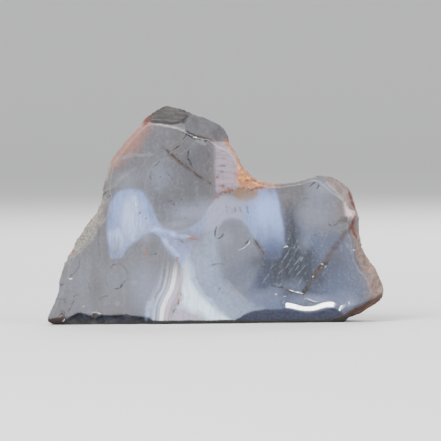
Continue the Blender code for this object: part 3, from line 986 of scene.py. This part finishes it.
class NodeBoard:
    """Lays shader nodes and joins them, so that a finish reads as a few sums."""

    def __init__(self, material: bpy.types.Material) -> None:
        """Take over a material's node tree."""
        self.tree = material.node_tree
        self.coordinates = self.tree.nodes.new("ShaderNodeTexCoord").outputs["Object"]
        self.parts: dict[str, bpy.types.Node] = {}

    def join(self, source: object, target: bpy.types.NodeSocket) -> None:
        """Link a socket, or set a plain value.

        Args:
            source: a socket or a value.
            target: the socket that takes it.
        """
        if isinstance(source, bpy.types.NodeSocket):
            self.tree.links.new(source, target)
        else:
            target.default_value = source

    def math(self, operation: str, first: object, second: object = 0.0, third: object = 0.0) -> Socket:
        """Work out one sum.

        Args:
            operation: what is done with the numbers.
            first: a number or a socket.
            second: a number or a socket.
            third: a number or a socket.

        Returns:
            The result.
        """
        node = self.tree.nodes.new("ShaderNodeMath")
        node.operation = operation
        for socket, value in zip(node.inputs, (first, second, third)):
            self.join(value, socket)
        return node.outputs[0]

    def product(self, *values: object) -> Socket:
        """Multiply values together.

        Args:
            values: numbers or sockets.

        Returns:
            The product.
        """
        total = values[0]
        for value in values[1:]:
            total = self.math("MULTIPLY", total, value)
        return total

    def rise(self, value: object, low: float, high: float, start: float = 0.0, end: float = 1.0) -> Socket:
        """Step smoothly from start to end while a value goes from low to high.

        The node's own clamp is off: a smooth step stays in its range without it, and with the clamps on the
        material was too big for the renderer's stack.

        Args:
            value: what is looked at.
            low: where the step starts.
            high: where it ends.
            start: the result at low.
            end: the result at high.

        Returns:
            The result.
        """
        node = self.tree.nodes.new("ShaderNodeMapRange")
        node.interpolation_type = "SMOOTHSTEP"
        node.clamp = False
        if low > high:
            low, high, start, end = high, low, end, start
        self.join(value, node.inputs["Value"])
        for name, number in (("From Min", low), ("From Max", high), ("To Min", start), ("To Max", end)):
            node.inputs[name].default_value = number
        return node.outputs["Result"]

    def mix(self, share: object, under: object, over: object) -> Socket:
        """Lay one colour over another.

        Args:
            share: how much of the upper colour shows.
            under: the lower colour.
            over: the upper colour.

        Returns:
            The mixed colour.
        """
        node = self.tree.nodes.new("ShaderNodeMix")
        node.data_type = "RGBA"
        self.join(share, node.inputs[0])
        self.join(under, node.inputs[6])
        self.join(over, node.inputs[7])
        return node.outputs[2]

    def grain(
        self, size: float, detail: float = 2.0, rough: float = 0.5, stretch: Stretch = (1.0, 1.0, 1.0),
        turn: float = 0.0,
    ) -> Socket:
        """Return cloudy noise from about 0.25 to 0.75.

        Args:
            size: the length of a lump in millimetres.
            detail: how many finer layers are added.
            rough: how strong the finer layers are.
            stretch: how much more often lumps come along X, Y and Z.
            turn: the stretch's turn on the face, in degrees.

        Returns:
            The noise.
        """
        mapping = self.tree.nodes.new("ShaderNodeMapping")
        self.join(self.coordinates, mapping.inputs["Vector"])
        mapping.inputs["Rotation"].default_value = (0.0, radians(turn), 0.0)
        mapping.inputs["Scale"].default_value = [part / (size * MM) for part in stretch]
        node = self.tree.nodes.new("ShaderNodeTexNoise")
        self.join(mapping.outputs[0], node.inputs["Vector"])
        node.inputs["Scale"].default_value = 1.0
        node.inputs["Detail"].default_value = detail
        node.inputs["Roughness"].default_value = rough
        return node.outputs["Fac"]

    def stripes(self, distance: object, period: float, wander: float = 0.8) -> Socket:
        """Return bands of uneven width that keep to a distance.

        Args:
            distance: what the bands follow, in millimetres.
            period: the usual width of a band, in millimetres.
            wander: how far the bands stray, in millimetres.

        Returns:
            Noise from about 0.25 to 0.75 that changes only across the bands.
        """
        strayed = self.math("MULTIPLY_ADD", self.grain(7.0, 3.0), wander, distance)
        node = self.tree.nodes.new("ShaderNodeTexNoise")
        node.noise_dimensions = "1D"
        self.join(self.math("DIVIDE", strayed, period), node.inputs["W"])
        node.inputs["Scale"].default_value = 1.0
        node.inputs["Detail"].default_value = 3.0
        node.inputs["Roughness"].default_value = 0.65
        return node.outputs["Fac"]

    def stored(self, name: str, column: int) -> Socket:
        """Read one of the three numbers kept on the vertices under a name.

        Args:
            name: the attribute's name.
            column: which of the three.

        Returns:
            The number.
        """
        if name not in self.parts:
            source = self.tree.nodes.new("ShaderNodeAttribute")
            source.attribute_name = name
            split = self.tree.nodes.new("ShaderNodeSeparateXYZ")
            self.join(source.outputs["Vector"], split.inputs[0])
            self.parts[name] = split
        return self.parts[name].outputs[column]

    def region(self, name: str) -> Socket:
        """Return how far inside a region the surface is, in millimetres."""
        index = list(REGIONS).index(name)
        return self.stored(f"regions_{index // 3}", index % 3)

    def reached(self, reach: float) -> object:
        """Say how far a colour still shows behind the polished face.

        Args:
            reach: the depth to which it shows, in millimetres.

        Returns:
            1 down to about that depth and 0 well below it.
        """
        if reach > SLAB_DEPTH_MM:
            return 1.0
        depth = self.wander(3.0, min(1.6, 0.27 * reach), self.stored("seen", 2))
        return self.rise(depth, 1.3 * reach + 0.6, 0.9 * reach)

    def mottled(self, tone: Tone, mottle: Mottle | None) -> object:
        """Give a colour the grains or streaks of its second colour.

        Args:
            tone: the colour.
            mottle: the second colour, or None.

        Returns:
            The colour, as a value or a socket.
        """
        if mottle is None:
            return tint(tone)
        cloud = self.grain(mottle.size, 4.0, 0.6, mottle.stretch, mottle.turn)
        low, high = mottle.middle - mottle.sharp, mottle.middle + mottle.sharp
        return self.mix(self.rise(cloud, low, high, 0.0, mottle.amount), tint(tone), tint(mottle.tone))

    def wander(self, size: float, reach: float, value: object) -> Socket:
        """Return a distance that strays by up to a reach, in lumps of a size, both in millimetres."""
        stray = self.math("MULTIPLY_ADD", self.grain(size, 4.0, 0.6), 3.0 * reach, -1.5 * reach)
        return self.math("ADD", value, stray)


FACE_LAYERS: tuple[Layer, ...] = (
    Layer("bowl", (138, 138, 145), soft=3.0, strength=0.8, wobble=0.8, grow=-1.0),
    Layer("gloom", (120, 130, 153), soft=6.0, wobble=1.2, grow=1.6,
          mottle=Mottle((142, 154, 180), 0.5, 0.5, middle=0.54)),
    Layer("deep", (68, 77, 101), soft=4.4, wobble=1.2, grow=1.4, haze=0.3,
          mottle=Mottle((112, 124, 154), 0.5, 0.45, middle=0.56)),
    Layer("scuffed", (56, 62, 76), soft=2.8, wobble=1.0, grow=0.8, strength=0.92,
          mottle=Mottle((94, 102, 116), 0.42, 0.6, stretch=(1.0, 1.0, 0.2), turn=-38)),
    Layer("egg", (157, 159, 169), soft=1.4, wobble=0.5, strength=0.95, haze=0.5),
    Layer("veil", (172, 180, 191), soft=2.4, wobble=0.6, grow=0.4, haze=0.3,
          mottle=Mottle((180, 188, 200), 1.6, 0.6)),
    Layer("ribbon", (169, 180, 200), soft=0.9, wobble=0.4, grow=0.1, haze=0.3,
          mottle=Mottle((180, 191, 210), 1.1, 0.7, stretch=(1.0, 1.0, 0.22), turn=4)),
    Layer("feather", (198, 204, 215), soft=2.2, wobble=1.0, within="ribbon", strength=0.9,
          mottle=Mottle((174, 182, 200), 0.6, 0.75, stretch=(1.0, 1.0, 0.2), turn=14)),
    Layer("blossom", (185, 176, 182), soft=0.9, wobble=0.5, grow=0.1, haze=0.2,
          mottle=Mottle((198, 194, 203), 0.8, 0.4, stretch=(0.3, 1.0, 1.3))),
    Layer("fan", (218, 223, 232), soft=1.5, wobble=0.4, grow=0.2, haze=0.25, rows=(244, 294),
          mottle=Mottle((202, 207, 218), 1.4, 0.5, stretch=(1.0, 1.0, 0.4), turn=-20)),
    Layer("lilac", (180, 177, 193), soft=2.4, wobble=0.8, strength=0.85,
          mottle=Mottle((206, 192, 196), 0.9, 0.6)),
    Layer("blush", (196, 168, 155), soft=4.0, wobble=1.0, strength=0.8, grow=0.5, haze=0.3,
          mottle=Mottle((176, 156, 148), 0.9, 0.5, sharp=0.2)),
    Layer("stain", (184, 145, 100), soft=1.8, wobble=0.8, strength=0.95, grow=0.3, haze=0.25, reach=6.0,
          mottle=Mottle((222, 198, 150), 0.9, 0.7, middle=0.54, sharp=0.2)),
    Layer("amber", (182, 152, 102), soft=1.2, wobble=0.6, strength=0.9, grow=0.3, haze=0.4, reach=6.0,
          mottle=Mottle((160, 142, 108), 0.5, 0.5)),
    Layer("frost", (224, 216, 219), soft=1.0, wobble=0.6, grow=0.3, haze=0.3,
          mottle=Mottle((190, 176, 180), 0.8, 0.5)),
)

RIM_LAYERS: tuple[Layer, ...] = (
    Layer("granular", (154, 152, 149), soft=2.0, wobble=1.2, strength=0.85,
          mottle=Mottle((202, 199, 194), 0.45, 0.8, middle=0.52, sharp=0.2)),
    Layer("shoulder", (160, 151, 150), soft=0.8, wobble=0.4,
          mottle=Mottle((186, 176, 174), 1.0, 0.7, stretch=(1.0, 1.0, 0.35), turn=-30)),
    Layer("rind", (156, 145, 143), soft=4.4, wobble=1.0, grow=0.8,
          mottle=Mottle((198, 181, 171), 0.9, 0.7, sharp=0.2)),
    # Grey-brown broken stone, darkened as painted shade on the chip's upturned face.
    Layer("chip", (90, 86, 89), soft=0.4, wobble=0.3,
          mottle=Mottle((136, 131, 129), 0.6, 0.8, stretch=(0.12, 1.0, 1.0))),
    Layer("knob", (139, 139, 146), soft=0.5, wobble=0.4, mottle=Mottle((118, 117, 122), 1.6, 0.6)),
    # Blue stone, painted darker to stand in for the dark the chipped foot mirrors: painted reflection.
    Layer("chipped", (44, 49, 70), soft=0.3, wobble=0.3, reach=5.0,
          mottle=Mottle((82, 91, 130), 0.8, 0.7, middle=0.55, stretch=(0.5, 1.0, 1.0))),
    # Blue stone of the rolled edge, painted darker as a dark reflection.
    Layer("bevel", (90, 96, 126), soft=0.6, wobble=0.3, reach=6.0,
          mottle=Mottle((54, 58, 90), 0.8, 0.7, sharp=0.16)),
    Layer("facet", (84, 58, 52), soft=1.1, wobble=0.4, mottle=Mottle((132, 96, 78), 0.8, 0.6)),
    # Painted shade along the base edge, over the stone's grey-brown.
    Layer("strip", (46, 44, 47), soft=0.4, wobble=0.2, reach=4.0, mottle=Mottle((74, 70, 70), 0.6, 0.5)),
    Layer("toe", (58, 42, 39), soft=0.4, wobble=0.4, mottle=Mottle((104, 66, 54), 1.2, 0.7)),
)

LINES: tuple[Line, ...] = (
    # Painted highlight along the upper edges of the face.
    Line("edge_highlights", (200, 193, 189), width=0.08, soft=0.5, strength=0.5, wobble=0.2, patchy=0.6),
    Line("vein", (102, 88, 86), width=0.25, soft=0.9, strength=0.75, wobble=0.35, patchy=0.2, reach=8.0,
         mottle=Mottle((132, 104, 95), 1.2, 0.6)),
    Line("rust", (128, 114, 104), width=0.15, soft=1.0, strength=0.5, wobble=0.4, patchy=0.4, reach=8.0),
    Line("rust", (98, 80, 68), width=0.06, soft=0.3, strength=0.85, wobble=0.4, patchy=0.85, reach=8.0),
    Line("threads", (202, 208, 219), width=0.05, soft=0.8, strength=0.5, wobble=0.3, patchy=0.4, reach=30.0),
    Line("wisps", (180, 180, 184), width=0.18, soft=0.6, strength=0.5, wobble=0.3, patchy=0.6),
    Line("red", (128, 82, 62), width=0.1, soft=0.45, strength=0.85, wobble=0.4, patchy=0.6,
         mottle=Mottle((180, 132, 94), 0.8, 0.7)),
    Line("wine", (104, 50, 40), width=0.28, soft=0.5, strength=0.92, wobble=0.4, patchy=0.3, reach=8.0,
         mottle=Mottle((168, 96, 72), 0.7, 0.7)),
    Line("dots", (184, 124, 104), width=0.12, soft=0.5, strength=0.75, wobble=0.2, patchy=0.2),
    Line("gravel", (62, 54, 52), width=0.35, soft=0.5, strength=0.95, wobble=0.6, patchy=0.3,
         mottle=Mottle((166, 156, 148), 0.4, 0.8, middle=0.61, sharp=0.05)),
    # Real scratches, drawn pale as painted reflected light.
    Line("scratches_and_sheen", (172, 180, 192), width=0.0, soft=0.22, strength=0.5, wobble=0.06, patchy=0.9, reach=1.0),
    Line("faint", (116, 118, 127), width=0.06, soft=0.32, strength=0.6, wobble=0.2, patchy=0.7),
    # Dark fissures, with painted shadow under the top chip's step.
    Line("chip_shadow_and_fissures", (58, 62, 76), width=0.2, soft=0.35, strength=0.9, wobble=0.25, patchy=0.3),
    Line("cracks", (64, 64, 72), width=0.05, soft=0.26, strength=0.85, wobble=0.16, patchy=0.7),
    Line("specks", (96, 98, 108), width=0.06, soft=0.34, strength=0.6, wobble=0.3, patchy=0.5),
    # Painted highlights: small white flecks.
    Line("glints", (240, 240, 240), width=0.0, soft=0.19, strength=0.9, wobble=0.18, patchy=0.6, reach=2.0),
)


@dataclass(frozen=True)
class Band:
    """One of the parallel bands under the junction: its place across them and its look."""

    place: float
    half: float
    soft: float
    tone: Tone
    strength: float


BANDS: tuple[Band, ...] = (
    Band(3.7, 0.20, 0.6, (178, 181, 192), 0.5),
    Band(3.1, 0.14, 0.4, (196, 199, 208), 0.7),
    Band(2.5, 0.30, 0.7, (152, 150, 148), 0.6),
    Band(1.9, 0.16, 0.35, (206, 208, 214), 0.8),
    Band(1.35, 0.14, 0.35, (176, 178, 186), 0.6),
    Band(0.95, 0.12, 0.3, (204, 206, 212), 0.7),
    Band(-1.2, 0.95, 0.9, (206, 201, 206), 0.85),
    Band(0.0, 0.35, 0.4, (226, 225, 231), 0.95),
    Band(-2.0, 0.10, 0.4, (172, 156, 140), 0.5),
)


@dataclass(frozen=True)
class FineBands:
    """Faint bands beside a region's border: their width and reach in millimetres, and how they show."""

    region: str
    period: float
    low: float
    high: float
    amount: float


FINE_BANDS: tuple[FineBands, ...] = (
    FineBands("bowl", 0.6, -5.0, 0.0, 0.10),
    FineBands("fan", 0.5, -8.0, 0.0, 0.12),
    FineBands("egg", 0.7, -1.0, 3.0, 0.06),
    FineBands("ribbon", 0.5, -3.0, -0.5, 0.10),
)


@dataclass(frozen=True)
class AgateFinish:
    """The stone's look: its colours, lines, polish, grain and bumps."""

    ground: Tone = (145, 145, 149)
    ground_warm: Tone = (147, 143, 140)
    ground_pale: Tone = (154, 153, 159)
    polish: float = 0.07
    sawn_rough: float = 0.42
    broken: float = 0.7
    worn: float = 0.95
    dull: float = 0.9
    glow_depth: float = 0.9 * MM
    translucence: float = 0.12
    refraction: float = 1.54
    lobe_top: Tone = (190, 200, 217)
    lobe_foot: Tone = (110, 124, 158)
    lobe_arm: Tone = (187, 187, 193)
    band_pale: Tone = (190, 194, 204)
    band_dark: Tone = (128, 130, 138)
    pool_light: Tone = (205, 208, 216)
    pool_warm: Tone = (158, 146, 138)
    pool_blue: Tone = (122, 138, 170)
    pool_dark: Tone = (60, 62, 70)
    pool_share: float = 0.6
    fine_dark: Tone = (110, 110, 118)
    fine_pale: Tone = (198, 199, 204)
    crust: Tone = (152, 146, 142)
    crust_pale: Tone = (190, 183, 176)
    crust_brown: Tone = (146, 116, 98)
    crust_dark: Tone = (104, 98, 96)
    dust: Tone = (168, 168, 172)
    bump_depth: float = 0.12 * MM

    def material(self) -> bpy.types.Material:
        """Make the stone's material.

        Returns:
            The material, ready for the slab.
        """
        material = bpy.data.materials.new("agate")
        material.use_nodes = True
        board = NodeBoard(material)
        shader = material.node_tree.nodes["Principled BSDF"]
        colour = self.ground_colour(board)
        for layer in FACE_LAYERS:
            colour = self.lay(board, colour, layer)
        colour = self.fortification(board, colour)
        colour = self.fine_banding(board, colour)
        colour = self.pooled(board, colour)
        colour = self.rim_weather(board, colour)
        for layer in RIM_LAYERS:
            colour = self.lay(board, colour, layer)
        for line in LINES:
            colour = self.draw(board, colour, line)
        colour = self.back_dust(board, colour)
        board.join(colour, shader.inputs["Base Color"])
        board.join(self.roughness(board), shader.inputs["Roughness"])
        board.join(self.bumps(board), shader.inputs["Normal"])
        shader.inputs["Subsurface Weight"].default_value = self.translucence
        shader.inputs["Subsurface Radius"].default_value = (1.0, 0.9, 0.8)
        shader.inputs["Subsurface Scale"].default_value = self.glow_depth
        shader.inputs["IOR"].default_value = self.refraction
        return material

    def ground_colour(self, board: NodeBoard) -> Socket:
        """Mix the grey that everything else lies on, cloudy and in places a little warm.

        Args:
            board: where the nodes are laid.

        Returns:
            The colour.
        """
        clouds = board.rise(board.grain(13.0, 3.0, 0.55), 0.35, 0.65)
        colour = board.mix(clouds, tint(self.ground), tint(self.ground_pale))
        warm = board.rise(board.grain(8.0, 2.0, 0.5, stretch=(1.4, 1.0, 0.7)), 0.46, 0.68, 0.0, 0.6)
        return board.mix(warm, colour, tint(self.ground_warm))

    def lay(self, board: NodeBoard, colour: Socket, layer: Layer) -> Socket:
        """Lay one layer over the colour, its border wandering a little.

        Args:
            board: where the nodes are laid.
            colour: the colour so far.
            layer: what is laid over it.

        Returns:
            The new colour.
        """
        edge = board.wander(2.6, layer.wobble, board.region(layer.region))
        low, high = -layer.soft / 2 - layer.grow, layer.soft / 2 - layer.grow
        share = board.rise(edge, low, high, 0.0, layer.strength)
        if layer.haze:
            spread = board.rise(board.wander(5.0, 0.8, board.region(layer.region)), -1.8, 1.2, 0.0, layer.strength)
            share = board.math("MULTIPLY_ADD", board.math("SUBTRACT", spread, share), layer.haze, share)
        if layer.rows:
            share = board.product(share, board.rise(board.stored("seen", 1), *layer.rows))
        share = board.product(share, board.reached(layer.reach))
        if layer.within:
            share = board.product(share, board.rise(board.region(layer.within), -0.3, 0.5))
        paint = board.mottled(layer.tone, layer.mottle)
        if layer.region == "ribbon":
            paint = self.lobe_shades(board, paint)
        return board.mix(share, colour, paint)

    def draw(self, board: NodeBoard, colour: Socket, line: Line) -> Socket:
        """Return the colour with one kind of line drawn over it."""
        return board.mix(self.line_share(board, line), colour, board.mottled(line.tone, line.mottle))

    def line_share(self, board: NodeBoard, line: Line) -> Socket:
        """Find where a kind of line shows: straying, of uneven width and broken up in patches.

        Args:
            board: where the nodes are laid.
            line: the kind of line.

        Returns:
            How much of it shows.
        """
        across = board.math("ABSOLUTE", board.wander(1.3, line.wobble, board.stored(line.strokes, 0)))
        swell = board.math("MULTIPLY_ADD", board.grain(1.7, 2.0), -2.0 * line.soft, line.soft)
        swell = board.math("MULTIPLY_ADD", self.taper(board, line), line.soft, swell)
        core = board.rise(board.math("ADD", across, swell), line.width + line.soft, line.width, 0.0, line.strength)
        limit = line.width + line.soft
        near = board.rise(board.stored(line.strokes, 1), limit + line.wobble + 0.1, limit * 0.6)
        patches = board.rise(board.grain(1.9, 3.0, 0.6), 0.40, 0.58, 1.0 - line.patchy, 1.0)
        return board.product(core, near, patches, board.reached(line.reach))

    def taper(self, board: NodeBoard, line: Line) -> Socket:
        """Thin a kind of line toward its ends.

        Args:
            board: where the nodes are laid.
            line: the kind of line.

        Returns:
            1 at the ends of a line and almost 0 along its middle.
        """
        along = board.stored(line.strokes, 2)
        bulge = board.product(along, board.math("SUBTRACT", 1.0, along), 4.0)
        return board.math("POWER", board.math("SUBTRACT", 1.0, bulge), 3.0)

    def lobe_shades(self, board: NodeBoard, colour: object) -> Socket:
        """Shade the ribbon: pale at the right lobe's top, slate at its foot, grey along its arm.

        Args:
            board: where the nodes are laid.
            colour: the ribbon's colour.

        Returns:
            The shaded colour.
        """
        across, down = board.stored("seen", 0), board.stored("seen", 1)
        right = board.rise(across, 246.0, 262.0)
        pale = board.product(right, board.rise(down, 238.0, 208.0), board.rise(down, 186.0, 204.0), 0.8)
        colour = board.mix(pale, colour, tint(self.lobe_top))
        foot = board.product(right, board.rise(down, 222.0, 256.0))
        colour = board.mix(foot, colour, tint(self.lobe_foot))
        arm = board.product(board.rise(across, 198.0, 212.0), board.rise(across, 250.0, 236.0), 0.8)
        return board.mix(arm, colour, tint(self.lobe_arm))

    def fortification(self, board: NodeBoard, colour: Socket) -> Socket:
        """Add the parallel bands under the junction.

        Args:
            board: where the nodes are laid.
            colour: the colour so far.

        Returns:
            The new colour.
        """
        side = board.wander(4.0, 0.25, board.stored("bands", 0))
        held = board.rise(board.stored("seen", 1), 256.0, 294.0)
        for band in BANDS:
            off = board.math("ABSOLUTE", board.math("SUBTRACT", side, band.place))
            shown = board.product(board.rise(off, band.half + band.soft, band.half, 0.0, band.strength), held)
            colour = board.mix(shown, colour, tint(band.tone))
        return colour

    def fine_banding(self, board: NodeBoard, colour: Socket) -> Socket:
        """Add the faint bands that follow the borders of some regions.

        Args:
            board: where the nodes are laid.
            colour: the colour so far.

        Returns:
            The new colour.
        """
        for bands in FINE_BANDS:
            distance = board.region(bands.region)
            held = board.product(
                board.rise(distance, bands.low, bands.low + 2.0),
                board.rise(distance, bands.high + 2.0, bands.high),
            )
            held = board.product(held, board.rise(board.region("gloom"), 0.5, -1.5))
            stripes = board.stripes(distance, bands.period)
            pale = board.product(held, board.rise(stripes, 0.48, 0.66, 0.0, bands.amount))
            dark = board.product(held, board.rise(stripes, 0.50, 0.34, 0.0, bands.amount))
            colour = board.mix(pale, colour, tint(self.band_pale))
            colour = board.mix(dark, colour, tint(self.band_dark))
        return colour

    def pooled(self, board: NodeBoard, colour: Socket) -> Socket:
        """Add the soft patches, a few of them a painted glow of light, and the fine grain that run through all of
        it.

        Args:
            board: where the nodes are laid.
            colour: the colour so far.

        Returns:
            The new colour.
        """
        light, warm, blue = (board.stored("tone", column) for column in range(3))
        colour = board.mix(light, colour, tint(self.pool_light))
        colour = board.mix(board.product(warm, self.pool_share), colour, tint(self.pool_warm))
        colour = board.mix(board.product(blue, self.pool_share), colour, tint(self.pool_blue))
        colour = board.mix(board.product(light, -0.8), colour, tint(self.pool_dark))
        fine = board.grain(0.8, 4.0, 0.65)
        streaks = board.grain(1.1, 2.0, 0.5, stretch=(1.0, 1.0, 0.1))
        both = board.math("MULTIPLY_ADD", streaks, 0.4, fine)
        colour = board.mix(board.rise(both, 0.70, 0.50, 0.0, 0.14), colour, tint(self.fine_dark))
        return board.mix(board.rise(both, 0.70, 0.90, 0.0, 0.09), colour, tint(self.fine_pale))

    def rim_weather(self, board: NodeBoard, colour: Socket) -> Socket:
        """Add the rim's crust, pale grains and brown stain, which start behind the polish.

        Args:
            board: where the nodes are laid.
            colour: the colour so far.

        Returns:
            The new colour.
        """
        rim = board.product(self.rim(board), board.rise(board.stored("seen", 2), 0.3, 1.8))
        crust = board.product(rim, board.rise(board.grain(3.0, 4.0, 0.6), 0.36, 0.6, 0.15, 0.65))
        colour = board.mix(crust, colour, tint(self.crust))
        pale = board.product(rim, board.rise(board.grain(0.9, 5.0, 0.65), 0.5, 0.66, 0.0, 0.5))
        colour = board.mix(pale, colour, tint(self.crust_pale))
        brown = board.product(rim, board.rise(board.grain(5.0, 5.0, 0.7), 0.52, 0.72, 0.0, 0.5))
        colour = board.mix(brown, colour, tint(self.crust_brown))
        dark = board.product(rim, board.rise(board.grain(0.7, 3.0), 0.42, 0.3, 0.0, 0.5))
        return board.mix(dark, colour, tint(self.crust_dark))

    def polished(self, board: NodeBoard) -> Socket:
        """Return the share of polished surface, the rolled edge with it."""
        return board.stored("zones", 0)

    def sawn(self, board: NodeBoard) -> Socket:
        """Return the share of sawn surface."""
        return board.stored("zones", 1)

    def rim(self, board: NodeBoard) -> Socket:
        """Return the share of broken surface: what is neither polished nor sawn."""
        return board.math("SUBTRACT", 1.0, board.math("ADD", self.polished(board), self.sawn(board)))

    def back_dust(self, board: NodeBoard, colour: Socket) -> Socket:
        """Return the colour with the fine pale bloom that a saw leaves on stone."""
        bloom = board.rise(board.grain(2.0, 5.0), 0.3, 0.7, 0.25, 0.5)
        return board.mix(board.product(self.sawn(board), bloom), colour, tint(self.dust))

    def roughness(self, board: NodeBoard) -> Socket:
        """Work out the roughness: low on the polish, higher on sawn, worn and broken stone.

        Args:
            board: where the nodes are laid.

        Returns:
            The roughness.
        """
        value = board.math("MULTIPLY_ADD", self.rim(board), self.broken - self.polish, self.polish)
        value = board.math("MULTIPLY_ADD", self.sawn(board), self.sawn_rough - self.polish, value)
        value = board.math("MAXIMUM", value, board.product(board.stored("zones", 2), self.worn))
        value = board.math("MAXIMUM", value, board.rise(board.region("facet"), -0.6, 0.2, 0.0, self.dull))
        return board.math("MULTIPLY_ADD", board.grain(6.0, 4.0, 0.6), 0.06, value)

    def bumps(self, board: NodeBoard) -> Socket:
        """Add fine grain on the rim and marks of the saw.

        Args:
            board: where the nodes are laid.

        Returns:
            The normal.
        """
        height = board.product(self.rim(board), board.grain(0.5, 5.0, 0.6))
        marks = board.grain(0.8, 2.0, 0.5, stretch=(0.06, 1.0, 1.0), turn=20)
        height = board.math("MULTIPLY_ADD", board.product(self.sawn(board), marks), 0.5, height)
        bump = board.tree.nodes.new("ShaderNodeBump")
        bump.inputs["Strength"].default_value = 0.6
        bump.inputs["Distance"].default_value = self.bump_depth
        board.join(height, bump.inputs["Height"])
        return bump.outputs["Normal"]


@dataclass
class AgateSlice:
    """The slab with its finish."""

    body: StoneBody = field(default_factory=StoneBody)
    finish: AgateFinish = field(default_factory=AgateFinish)

    def build(self) -> bpy.types.Object:
        """Make the slab, dress it and set it in the frame.

        Returns:
            The finished piece.
        """
        piece = self.body.build()
        piece.data.materials.clear()
        piece.data.materials.append(self.finish.material())
        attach(piece, "root")
        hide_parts(NODE)
        return piece


Spot = tuple[float, float, float]
Shade = tuple[float, float, float, float]


@dataclass
class Studio:
    """A pale seamless floor, soft lights and a camera square to the polished face."""

    floor_radius: float = 1.6
    wall_radius: float = 0.9
    camera_distance: float = 1.2
    elevation: float = radians(2.0)
    paint: Shade = (0.78, 0.78, 0.77, 1.0)
    air: Shade = (0.97, 0.98, 1.0, 1.0)
    air_strength: float = 0.75
    glint_spot: tuple[float, float] = (312.0, 308.0)
    glint_rise: float = radians(25.0)
    glint_distance: float = 0.5
    glint_warmth: Spot = (1.0, 0.975, 0.88)

    def build(self) -> None:
        """Set up the floor, the lights, the sky and the camera."""
        self.floor()
        self.sky()
        self.soft_light("key", (-0.42, -0.55, 0.62), (0.55, 0.55), 13.0)
        self.soft_light("fill", (0.65, -0.45, 0.35), (0.60, 0.60), 5.0)
        self.soft_light("back", (0.15, 0.60, 0.55), (0.50, 0.50), 6.0)
        self.glint()
        self.camera()

    def floor(self) -> bpy.types.Object:
        """Make a round floor that sweeps up into a wall.

        Returns:
            The floor.
        """
        body = bmesh.new()
        path = [body.verts.new((0.0, 0.0, 0.0)), body.verts.new((self.floor_radius, 0.0, 0.0))]
        for step in range(1, 17):
            turn = step / 16 * pi / 2
            across = self.floor_radius + self.wall_radius * sin(turn)
            path.append(body.verts.new((across, 0.0, self.wall_radius * (1.0 - cos(turn)))))
        edges = [body.edges.new(pair) for pair in zip(path, path[1:])]
        bmesh.ops.spin(
            body, geom=path + edges, cent=(0, 0, 0), axis=(0, 0, 1), angle=2 * pi, steps=64, use_merge=True
        )
        bmesh.ops.remove_doubles(body, verts=body.verts, dist=1e-5)
        bmesh.ops.recalc_face_normals(body, faces=body.faces)
        mesh = bpy.data.meshes.new("floor")
        body.to_mesh(mesh)
        body.free()
        mesh.shade_smooth()
        floor = bpy.data.objects.new("floor", mesh)
        bpy.context.scene.collection.objects.link(floor)
        material = bpy.data.materials.new("floor")
        material.use_nodes = True
        shader = material.node_tree.nodes["Principled BSDF"]
        shader.inputs["Base Color"].default_value = self.paint
        shader.inputs["Roughness"].default_value = 0.9
        shader.inputs["Specular IOR Level"].default_value = 0.0
        mesh.materials.append(material)
        return floor

    def sky(self) -> None:
        """Set a pale even sky."""
        world = bpy.data.worlds.new("studio")
        world.use_nodes = True
        background = world.node_tree.nodes["Background"]
        background.inputs["Color"].default_value = self.air
        background.inputs["Strength"].default_value = self.air_strength
        bpy.context.scene.world = world

    def soft_light(
        self, name: str, place: Spot, size: tuple[float, float], power: float, aim: Spot = (0.0, 0.0, 0.03),
    ) -> bpy.types.Object:
        """Hang an oblong soft light that looks at the slab.

        Args:
            name: the light's name.
            place: where it hangs.
            size: its width and height.
            power: its watts.
            aim: the place it looks at.

        Returns:
            The light.
        """
        lamp = bpy.data.lights.new(name, "AREA")
        lamp.shape = "RECTANGLE"
        lamp.size, lamp.size_y = size
        lamp.energy = power
        light = bpy.data.objects.new(name, lamp)
        way = Vector(aim) - Vector(place)
        light.matrix_world = Matrix.Translation(place) @ way.to_track_quat("-Z", "Y").to_matrix().to_4x4()
        light.visible_camera = False
        bpy.context.scene.collection.objects.link(light)
        return light

    def glint(self) -> bpy.types.Object:
        """Hang a small bright light that shows in the ripple of the polish, and only in gloss.

        Returns:
            The light.
        """
        ripple = PLANE.place(*self.glint_spot)
        way = Vector((0.0, -cos(self.glint_rise), sin(self.glint_rise)))
        place = ripple + self.glint_distance * way
        light = self.soft_light("glint", tuple(place), (0.18, 0.10), 6.5, tuple(ripple))
        light.data.color = self.glint_warmth
        light.visible_diffuse = False
        return light

    def camera(self) -> bpy.types.Object:
        """Place the camera so that a pixel of the polished face falls where the photograph has it.

        Returns:
            The camera.
        """
        lens = bpy.data.cameras.new("camera")
        middle = PLANE.place(PHOTO_SIZE / 2, PHOTO_SIZE / 2)
        lens.angle = 2.0 * atan(PHOTO_SIZE * PLANE.pixel / 2.0 / self.camera_distance)
        lens.clip_start = 0.01
        lens.clip_end = 20.0
        camera = bpy.data.objects.new("camera", lens)
        away = Vector((0.0, -cos(self.elevation), sin(self.elevation))) * self.camera_distance
        look = Matrix.Rotation(pi / 2 - self.elevation, 4, "X") @ Matrix.Rotation(-PLANE.tilt, 4, "Z")
        camera.matrix_world = Matrix.Translation(middle + away) @ look
        bpy.context.scene.collection.objects.link(camera)
        bpy.context.scene.camera = camera
        return camera


def main() -> None:
    """Build the slab and the studio, and log the slab's face count."""
    logging.basicConfig(level=logging.INFO, format="%(name)s: %(message)s")
    piece = AgateSlice().build()
    LOG.info("%s: %d faces", piece.name, len(piece.data.polygons))
    Studio().build()
    LOG.info("studio set")


if __name__ == "__main__":
    main()
